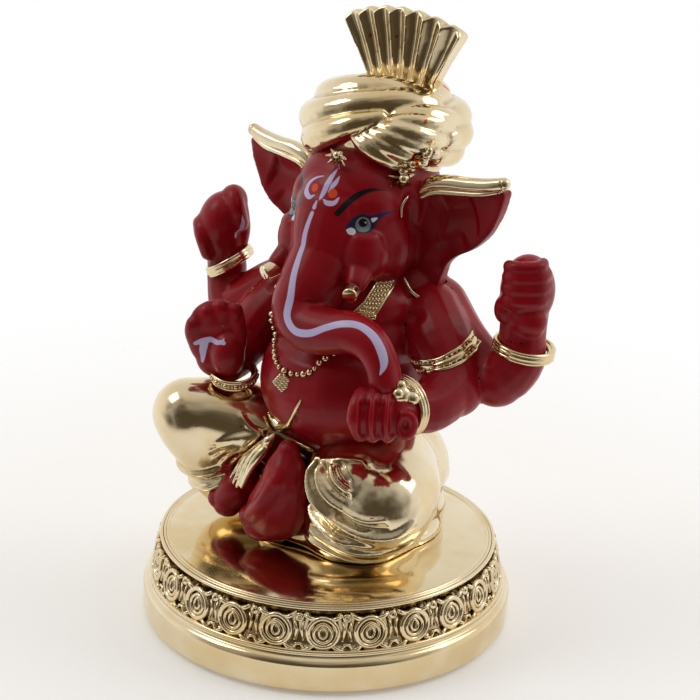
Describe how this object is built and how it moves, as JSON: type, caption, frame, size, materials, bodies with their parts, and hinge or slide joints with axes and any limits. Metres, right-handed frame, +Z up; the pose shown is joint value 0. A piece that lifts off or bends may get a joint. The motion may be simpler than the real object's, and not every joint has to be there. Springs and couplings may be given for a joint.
{
  "type": "seated elephant-headed shrine figure",
  "caption": "Seated four-armed elephant-headed devotional figure with a turban and fan plume, cast in parts on a round ornamented pedestal that rests on a felt pad.",
  "frame": {"origin": "centre of the felt pad's underside, on the surface the figure stands on", "axes": "+Z up; -Y the way the figure faces; +X the figure's own left side"},
  "size_m": [0.0624, 0.056, 0.0911],
  "materials": {
    "gold_plate": "mirror-bright pale gold plating over cast resin",
    "red_paint": "soft satin crimson paint on cast resin, with white, black and orange hand-painted marks",
    "black_board": "plain matt closing plate",
    "felt": "short dark felt",
    "screw_steel": "zinc-plated steel",
    "pin_brass": "plain drawn brass"
  },
  "bodies": {
    "root": {"pedestal": "gold_plate", "base_cover": "black_board", "felt_pad": "felt", "seat_screw_left": "screw_steel", "seat_screw_right": "screw_steel", "body_dowel": "pin_brass", "neck_dowel": "pin_brass", "turban_dowel": "pin_brass", "plume_pin": "pin_brass", "dhoti": "gold_plate", "dhoti_sash": "gold_plate", "left_foot": "red_paint", "right_foot": "red_paint", "torso": "red_paint", "sacred_thread": "gold_plate", "collar": "gold_plate", "bead_necklace": "gold_plate", "pendant": "gold_plate", "head": "red_paint", "trunk": "red_paint", "tusk_left": "gold_plate", "tusk_right": "gold_plate", "ear_left": "red_paint", "ear_right": "red_paint", "ear_trim_left": "gold_plate", "ear_trim_right": "gold_plate", "turban": "gold_plate", "plume": "gold_plate", "turban_tassel": "gold_plate", "turban_brooch": "gold_plate", "upper_arm_left": "red_paint", "upper_arm_right": "red_paint", "lower_arm_left": "red_paint", "lower_arm_right": "red_paint", "fist_left": "red_paint", "fist_right": "red_paint", "blessing_hand": "red_paint", "offering_hand": "red_paint", "modak": "gold_plate", "bangle_upper_left": "gold_plate", "bangle_upper_right": "gold_plate", "bangle_lower_left": "gold_plate", "bangle_lower_right": "gold_plate", "armlet_left": "gold_plate", "armlet_right": "gold_plate"}
  },
  "joints": []
}
